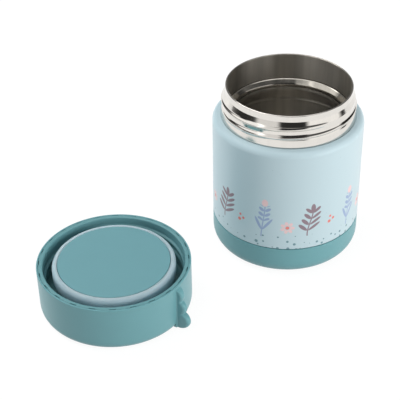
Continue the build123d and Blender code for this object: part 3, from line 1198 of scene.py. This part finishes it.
# ---- Lid -----------------------------------------------------------------------------------
@dataclass
class Lid:
    """Screw-on lid, upside down, about its own axis. Millimetres.

    A field that ends in rounds holds the radii of an outline's corners, in its order, and one
    that ends in steps the number of spans in each of its arcs. The collar's flat discs have
    no rows between the two radii of flat_disc. Its thread stands on the rows that lie within
    the first thread_margin of its radius and end the second one under the rim. The lobes are
    the fin's arcs from the highest down: height of the middle, reach and radius. The fin's
    rows start the first of fin_ends above the highest lobe and stop the second one above the
    lowest lobe's end, and fin_cut is how deep in the wall the fin's edge is beside its lobes.
    """
    cover_radius: float = 46.7
    cover_wall: float = 1.1
    height: float = 30.8
    top_round: float = 5.5
    rim_rounds: Rounds = (0.55, 0.35)
    top_thickness: float = 2.0
    roof_low: float = 8.0
    groove_floor: float = 10.0
    seat_width: float = 2.0
    collar_radius: float = 43.0
    collar_wall: float = 1.5
    collar_rounds: Rounds = (0.8, 0.7, 0.3, 0.0, 0.0, 0.0)
    collar_span: float = 0.35
    flat_disc: tuple[float, float] = (1.0, 35.0)
    flange_height: float = 2.0
    flange_gap: float = 0.1
    slot_width: float = 0.6
    slot_length: float = 4.0
    slot_depth: float = 0.7
    slots: int = 24
    slot_bearing: float = 2.0
    slot_edge: float = 0.0006
    thread: Thread = Thread(rise=1.5, pitch=5.4, turns=2.0, bearing=130.0, upper_flank=1.3,
                            lower_flank=1.9)
    thread_top: float = 5.3
    thread_margin: tuple[float, float] = (0.2, 1.0)
    plug_radius: float = 34.2
    plug_wall: float = 1.8
    plug_step: float = 2.0
    plug_step_height: float = 16.5
    plug_rounds: Rounds = (0.0, 0.4, 0.0, 0.0, 0.0)
    disc_low: float = 27.2
    disc_top: float = 30.3
    disc_rounds: Rounds = (0.1, 0.6)
    seal_inner: float = 34.5
    seal_outer: float = 37.5
    seal_gap: float = 0.1
    seal_start: float = 0.5
    seal_skirt: float = 1.5
    seal_bead: float = 8.3
    seal_rounds: Rounds = (0.3, 0.5, 0.8, 2.7, 0.2, 0.2)
    seal_steps: int = 12
    fin_bearing: float = -33.5
    fin_thickness: float = 4.4
    fin_round: float = 1.9
    fin_foot: float = 0.9
    fin_sink: float = 0.12
    fin_root: float = 0.2
    fin_web: float = 0.55
    fin_ends: tuple[float, float] = (0.4, 0.05)
    fin_cut: float = 0.5
    fin_least: float = 0.02
    fin_rows: int = 150
    fin_arc: int = 9
    lobes: tuple[tuple[float, float, float], ...] = (
        (24.0, 3.8, 4.7), (15.2, 5.5, 4.9), (6.0, 7.7, 5.3))
    steps: int = 10
    columns: int = 288
    collar_columns: int = 480
    body: str = "lid"

    def __post_init__(self) -> None:
        """Finds the lid's axis from the plug's disc."""
        low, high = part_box("plug_disc")
        self.centre = ((low.x + high.x) / 2 / MM, (low.y + high.y) / 2 / MM)

    def build(self) -> None:
        """Builds the lid's visible pieces from the outside in."""
        self.cover()
        self.collar()
        self.plug()
        self.disc()
        self.seal()

    def cover(self) -> None:
        """Outer moulding with the grip fin."""
        inner = self.cover_radius - self.cover_wall
        seat = inner - self.seat_width
        corners = [
            (0.0, 0.0),
            (self.cover_radius, 0.0),
            (self.cover_radius, self.height),
            (inner, self.height),
            (inner, self.roof_low),
            (seat, self.roof_low),
            (seat, self.top_thickness),
            (0.0, self.top_thickness),
        ]
        rounds = (self.top_round, *self.rim_rounds, 0.0, 0.0, self.top_round / 2)
        outline = rounded(corners, rounds, self.steps)
        shell = turned(outline, circle(self.columns), self.centre)
        piece("lid_shell", [shell, self.fin()], self.body, ["lid_cover"],
              COVER_PLASTIC.make())

    def fin(self) -> Surface:
        """Scalloped grip: a round-edged cross-section carried down the cover's side.

        The cross-section starts inside the wall, also where the cover's top edge is rounded.
        It flares out of the wall by a small arc, goes straight out, turns over by an arc of
        the edge radius, and comes back mirrored. Where the fin's reach is small, the arcs
        take no more than a share of it.

        Returns:
            The fin's surface.
        """
        heights, reach = self.fin_reach()
        below = np.clip(self.top_round - heights, 0, None)
        wall = np.sqrt(self.top_round ** 2 - below ** 2) - self.top_round
        half = self.fin_thickness / 2
        edge = np.minimum(self.fin_round, reach * 0.5)[:, None]
        quarter = np.linspace(0, math.pi / 2, self.fin_arc)[None]
        reach = reach[:, None]
        ones = np.ones_like(reach)
        foot = np.minimum(self.fin_foot, reach * 0.4)
        flare_side = (half + foot) * ones - foot * np.sin(quarter)
        flare_out = foot * (1 - np.cos(quarter)) - self.fin_sink
        top_side = half - edge + edge * np.cos(quarter)
        top_out = reach - edge + edge * np.sin(quarter)
        side = np.hstack([flare_side[:, :1], flare_side, top_side, np.zeros_like(reach)])
        out = np.hstack([wall[:, None] - self.fin_root, flare_out, top_out, reach])
        side = np.hstack([side, -side[:, -2::-1]])
        out = np.hstack([out, out[:, -2::-1]])
        bearing = math.radians(self.fin_bearing)
        radius = self.cover_radius + out
        x = self.centre[0] + radius * math.cos(bearing) - side * math.sin(bearing)
        y = self.centre[1] + radius * math.sin(bearing) + side * math.cos(bearing)
        z = np.broadcast_to(heights[:, None], x.shape)
        points, flow = np.stack([x, y, z], axis=2), np.stack([side, z], axis=2)
        return Surface(points[:, ::-1], flow[:, ::-1], closed_columns=False)

    def fin_reach(self) -> tuple[np.ndarray, np.ndarray]:
        """Heights down the fin and how far it stands out at each.

        That is the furthest of the lobes' arcs and the web between them. The web's edge runs
        straight from lobe to lobe, at a share of their reach.

        Returns:
            The heights and the reaches.
        """
        (top, _, top_arc), (low, _, low_arc) = self.lobes[0], self.lobes[-1]
        above, below = self.fin_ends
        heights = np.linspace(top + top_arc + above, low - low_arc + below, self.fin_rows)
        reach = np.full(len(heights), -self.fin_cut)
        for middle, peak, radius in self.lobes:
            inside = np.clip(radius ** 2 - (heights - middle) ** 2, 0, None)
            arc = np.where(inside > 0, peak - radius + np.sqrt(inside), -self.fin_cut)
            reach = np.maximum(reach, arc)
        middles, peaks, _ = np.array(self.lobes)[::-1].T
        web = np.interp(heights, middles, peaks * self.fin_web, left=-self.fin_cut,
                        right=-self.fin_cut)
        return heights, np.clip(np.maximum(reach, web), self.fin_least, None)

    def collar(self) -> None:
        """Inner moulding: threaded wall, groove floor, roof and slotted rim flange.

        The thread stands in from the wall's rows alone, and the slots push the flange's top
        rows in to their floor. The flat discs have no rows between their middle and the
        plug's wall, where nothing is round.
        """
        outer = self.collar_radius + self.collar_wall
        flange = self.cover_radius - self.cover_wall - self.flange_gap
        low = self.height - self.flange_height
        corners = [
            (0.0, self.groove_floor),
            (self.collar_radius, self.groove_floor),
            (self.collar_radius, self.height),
            (flange, self.height),
            (flange, low),
            (outer, low),
            (outer, self.roof_low),
            (0.0, self.roof_low),
        ]
        outline = refined(rounded(corners, self.collar_rounds), self.collar_span)
        middle, rim = self.flat_disc
        outline = outline[(outline[:, 0] > rim) | (outline[:, 0] < middle)]
        angles = self.slotted_angles()
        beside, under = self.thread_margin
        wall = (np.abs(outline[:, 0] - self.collar_radius) < beside) & (
            outline[:, 1] < self.height - under)
        start = self.height - self.thread_top - self.thread.pitch * self.thread.turns
        shift = -self.thread.relief(angles, outline[:, 1], start) * wall[:, None]
        slot_floor = flange - self.slot_width
        in_slot = self.in_slot(angles)[None] & (outline[:, :1] > slot_floor) & (
            outline[:, 1:] > self.height - self.slot_depth)
        shift = np.where(in_slot, slot_floor - outline[:, :1], shift)
        surface = turned(outline, angles, self.centre, radial=shift)
        piece("threaded_collar", [surface], self.body, ["lid_collar"],
              COLLAR_PLASTIC.make())

    def slotted_angles(self) -> np.ndarray:
        """Even columns, with four more at each slot so that its ends are square.

        Returns:
            The angles in order, from the back.
        """
        back, digits = math.pi / 2, 7
        middles = math.radians(self.slot_bearing) + FULL * np.arange(self.slots) / self.slots
        half = self.slot_length / 2 / self.cover_radius
        edges = np.array([-half - self.slot_edge, -half + self.slot_edge,
                          half - self.slot_edge, half + self.slot_edge])
        every = np.concatenate([circle(self.collar_columns), (middles[:, None] + edges).ravel()])
        return np.unique(np.round((every - back) % FULL, digits)) + back

    def in_slot(self, angles: np.ndarray) -> np.ndarray:
        """Whether each column lies in one of the rim's slots.

        Args:
            angles: one angle for each column.

        Returns:
            One truth value for each column.
        """
        step = FULL / self.slots
        apart = (angles - math.radians(self.slot_bearing) + step / 2) % step - step / 2
        return np.abs(apart) < self.slot_length / 2 / self.cover_radius

    def plug(self) -> None:
        """Plug wall with the step that the seal stands on."""
        inner = self.plug_radius - self.plug_wall
        step = self.plug_radius + self.plug_step
        corners = [
            (inner, self.groove_floor),
            (step, self.groove_floor),
            (step, self.plug_step_height),
            (self.plug_radius, self.plug_step_height),
            (self.plug_radius, self.disc_low),
            (inner, self.disc_low),
            (inner, self.groove_floor),
        ]
        outline = rounded(corners, self.plug_rounds)[:-1]
        surface = turned(outline, circle(self.columns), self.centre)
        piece("plug_wall", [surface], self.body, ["plug_cup"],
              COLLAR_PLASTIC.make())

    def disc(self) -> None:
        """Disc that closes the plug."""
        corners = [
            (0.0, self.disc_low),
            (self.plug_radius, self.disc_low),
            (self.plug_radius, self.disc_top),
            (0.0, self.disc_top),
        ]
        outline = rounded(corners, self.disc_rounds, self.steps)
        surface = turned(outline, circle(self.columns), self.centre)
        piece("plug_face", [surface], self.body, ["plug_disc"], DISC_PLASTIC.make())

    def seal(self) -> None:
        """Silicone seal with a thick round bead and a thinner skirt."""
        low = self.plug_step_height + self.seal_gap
        bead = self.disc_top - self.seal_bead
        skirt = self.seal_inner + self.seal_skirt
        start = (self.seal_inner + self.seal_start, low)
        corners = [
            start,
            (skirt, low),
            (skirt, bead),
            (self.seal_outer, bead),
            (self.seal_outer, self.disc_top),
            (self.seal_inner, self.disc_top),
            (self.seal_inner, low),
            start,
        ]
        outline = rounded(corners, self.seal_rounds, self.seal_steps)[:-1]
        surface = turned(outline, circle(self.columns), self.centre)
        piece("seal", [surface], "seal", ["seal_ring"], SILICONE.make())


# ---- Pieces that stay as their solids ------------------------------------------------------
@dataclass(frozen=True)
class Hidden:
    """Inner pieces whose solids already have the right shape."""
    finishes: tuple[tuple[str, Finish], ...] = (
        ("vacuum_bottom", BOTTOM_STEEL),
        ("exhaust_seal", BEAD_GLASS),
        ("getter_pan", PAN_STEEL),
        ("getter", GETTER_METAL),
        ("radiation_foil", COPPER_FOIL),
        ("base_adhesive", TAPE),
        ("lid_foam", FOAM),
        ("plug_foam", FOAM),
    )

    def dress(self) -> None:
        """Gives each solid its finish."""
        for node, finish in self.finishes:
            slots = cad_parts[node].data.materials
            slots.clear()
            slots.append(finish.make())
            LOG.info("%s: %s", node, finish.name)


# ---- Studio --------------------------------------------------------------------------------
@dataclass(frozen=True)
class Patch:
    """Bright panel or dark flag that polished surfaces see. Degrees.

    Attributes:
        left: bearing of its left edge, from -Y towards +X.
        right: bearing of its right edge.
        bottom: height of its lower edge.
        top: height of its upper edge.
        strength: its brightness.
    """
    left: float
    right: float
    bottom: float
    top: float
    strength: float


@dataclass
class Studio:
    """Camera, white floor and soft light.

    Attributes:
        camera_place: the camera, in millimetres.
        pitch: degrees that it looks down.
        roll: degrees that it is turned about its view.
        lens: focal length, in millimetres.
        sensor: width of its sensor, in millimetres.
        far: how far it sees, in metres.
        ambient: strength of the even light.
        tint: colour of the even light.
        mirrored_tint: colour of what polished surfaces see.
        shine: brightness that they see outside the patches.
        sky: what they see on top of that high above.
        sky_edge: heights between which the sky brightens, in degrees.
        soft: half width of a patch's side and upper or lower edges, in degrees.
        patches: panels and flags.
        floor_reach: half width of the floor, in metres.
        floor_grey: its grey in plain light.
        floor_glow: its white for the camera and shiny surfaces.
        floor_share: share of that white; the rest keeps the shadow.
        target: the point that the lamps face, in metres.
    """
    camera_place: tuple[float, float, float] = (-55.71, -577.13, 438.51)
    pitch: float = 35.494
    roll: float = -1.179
    lens: float = 97.6
    sensor: float = 36.0
    far: float = 20.0
    ambient: float = 0.60
    tint: Colour = (0.93, 1.0, 1.01)
    mirrored_tint: Colour = (1.0, 0.995, 0.985)
    shine: float = 0.2
    sky: float = 1.2
    sky_edge: tuple[float, float] = (54.0, 64.0)
    soft: tuple[float, float] = (5.0, 3.0)
    patches: tuple[Patch, ...] = (
        Patch(-20.0, 27.0, -14.0, 50.0, strength=0.03),
        Patch(-150.0, -58.0, 1.0, 12.0, strength=0.03),
        Patch(-112.0, -50.0, 16.0, 54.0, strength=1.15),
        Patch(-58.0, -20.0, -14.0, 50.0, strength=0.85),
        Patch(27.0, 88.0, -14.0, 25.0, strength=1.1),
        Patch(27.0, 104.0, 32.0, 54.0, strength=0.1),
        Patch(88.0, 128.0, -14.0, 28.0, strength=0.03),
        Patch(-170.0, -125.0, 44.0, 66.0, strength=3.5),
    )
    floor_reach: float = 4.0
    floor_grey: Colour = (0.5, 0.5, 0.5)
    floor_glow: float = 1.16
    floor_share: float = 0.8
    target: tuple[float, float, float] = (-0.03, -0.02, 0.05)

    def build(self) -> None:
        """Sets up everything round the part."""
        scene = bpy.context.scene
        scene.view_settings.view_transform = "Standard"
        self.camera()
        self.floor()
        self.world()
        self.lamps()

    def camera(self) -> None:
        """Camera that looks along +Y and down by the pitch, then rolls about its view."""
        down, tilt = math.radians(self.pitch), math.radians(self.roll)
        forward = np.array([0.0, math.cos(down), -math.sin(down)])
        upward = np.array([0.0, math.sin(down), math.cos(down)])
        right = np.array([1.0, 0.0, 0.0])
        axis_x = math.cos(tilt) * right + math.sin(tilt) * upward
        axis_y = -math.sin(tilt) * right + math.cos(tilt) * upward
        data = bpy.data.cameras.new("camera")
        data.lens = self.lens
        data.sensor_width = self.sensor
        data.clip_end = self.far
        made = bpy.data.objects.new("camera", data)
        turn = Matrix(np.stack([axis_x, axis_y, -forward], axis=1).tolist()).to_4x4()
        made.matrix_world = Matrix.Translation([part * MM for part in self.camera_place]) @ turn
        bpy.context.scene.collection.objects.link(made)
        bpy.context.scene.camera = made

    def floor(self) -> None:
        """White floor that keeps a faint shadow for the camera and for shiny surfaces."""
        mesh = bpy.data.meshes.new("floor")
        reach = self.floor_reach
        mesh.from_pydata([(-reach, -reach, 0), (reach, -reach, 0), (reach, reach, 0),
                          (-reach, reach, 0)], [], [(0, 1, 2, 3)])
        made_material, shader = material("white_floor")
        seen = shader.node("ShaderNodeLightPath", output="Is Camera Ray") | shader.node(
            "ShaderNodeLightPath", output="Is Glossy Ray")
        matte = shader.node("ShaderNodeBsdfDiffuse", inputs={"Color": self.floor_grey})
        glow = shader.node("ShaderNodeEmission", inputs={
            "Color": (1.0, 1.0, 1.0), "Strength": self.floor_glow})
        shader.node_end("ShaderNodeOutputMaterial", shader.node("ShaderNodeMixShader", inputs={
            0: seen * self.floor_share, 1: matte, 2: glow}))
        mesh.materials.append(made_material)
        made = bpy.data.objects.new("floor", mesh)
        bpy.context.scene.collection.objects.link(made)

    def world(self) -> None:
        """Even light from all round; polished surfaces see bright panels and dark flags in it.

        The direction's bearing is measured from -Y towards +X, and its height in degrees. A
        patch's mask is 1 between its two bearings and its two heights. It moves the shine
        from its plain level to the patch's strength.
        """
        world = bpy.data.worlds.new("studio")
        bpy.context.scene.world = world
        shader = Shader(world)
        x, y, z = shader.split(shader.node("ShaderNodeTexCoord", output="Generated"))
        degrees = 360 / FULL
        bearing = shader.math("ARCTAN2", x, 0.0 - y) * degrees
        rise = shader.math("ARCSINE", z) * degrees
        side, edge = self.soft
        shine = self.shine + rise.ramp(*self.sky_edge) * self.sky
        for patch in self.patches:
            across = bearing.between(patch.left, patch.right, side)
            mask = across * rise.between(patch.bottom, patch.top, edge)
            shine = shine + mask * (patch.strength - self.shine)
        glossy = shader.node("ShaderNodeLightPath", output="Is Glossy Ray")
        strength = self.ambient + (shine - self.ambient) * glossy
        seen = shader.node("ShaderNodeLightPath", output="Is Camera Ray")
        backdrop = shader.node("ShaderNodeBackground", inputs={
            "Color": (1.0, 1.0, 1.0), "Strength": 1.0})
        lit = shader.node("ShaderNodeBackground", inputs={
            "Color": shader.mix(glossy, self.tint, self.mirrored_tint), "Strength": strength})
        shader.node_end("ShaderNodeOutputWorld", shader.node("ShaderNodeMixShader", inputs={
            0: seen, 1: lit, 2: backdrop}))

    def lamps(self) -> None:
        """Soft lamps: the key low at the right, one at the left back and a weak one above."""
        self.lamp("key", 57.0, 11.0, 1.3, 0.8, 14.8, (1.0, 0.94, 0.90))
        self.lamp("edge", -122.0, 26.0, 1.2, 0.6, 8.6, (1.0, 0.99, 0.97))
        self.lamp("top", -60.0, 70.0, 1.2, 0.4, 1.6, (1.0, 1.0, 1.0))

    def lamp(self, name: str, bearing: float, rise: float, distance: float, size: float,
             watts: float, colour: Colour) -> None:
        """Square lamp that faces the jar and doesn't show in shiny surfaces.

        Args:
            name: its name.
            bearing: degrees from -Y towards +X.
            rise: degrees above the floor.
            distance: metres from the jar.
            size: metres.
            watts: its power.
            colour: its colour.
        """
        data = bpy.data.lights.new(name, "AREA")
        data.shape = "SQUARE"
        data.size = size
        data.energy = watts
        data.color = colour
        level, turn = math.radians(rise), math.radians(bearing)
        way = np.array([math.sin(turn) * math.cos(level), -math.cos(turn) * math.cos(level),
                        math.sin(level)])
        side = np.cross([0.0, 0.0, 1.0], way)
        side /= np.linalg.norm(side)
        axes = np.stack([side, np.cross(way, side), way], axis=1)
        made = bpy.data.objects.new(name, data)
        made.visible_glossy = False
        place = np.array(self.target) + way * distance
        turned_to = Matrix(axes.tolist()).to_4x4()
        made.matrix_world = Matrix.Translation(place.tolist()) @ turned_to
        bpy.context.scene.collection.objects.link(made)


def main() -> None:
    """Builds the jar, the lid and the studio."""
    logging.basicConfig(level=logging.INFO, format="%(name)s %(message)s")
    Jar().build()
    Lid().build()
    Hidden().dress()
    Studio().build()


if __name__ == "__main__":
    main()
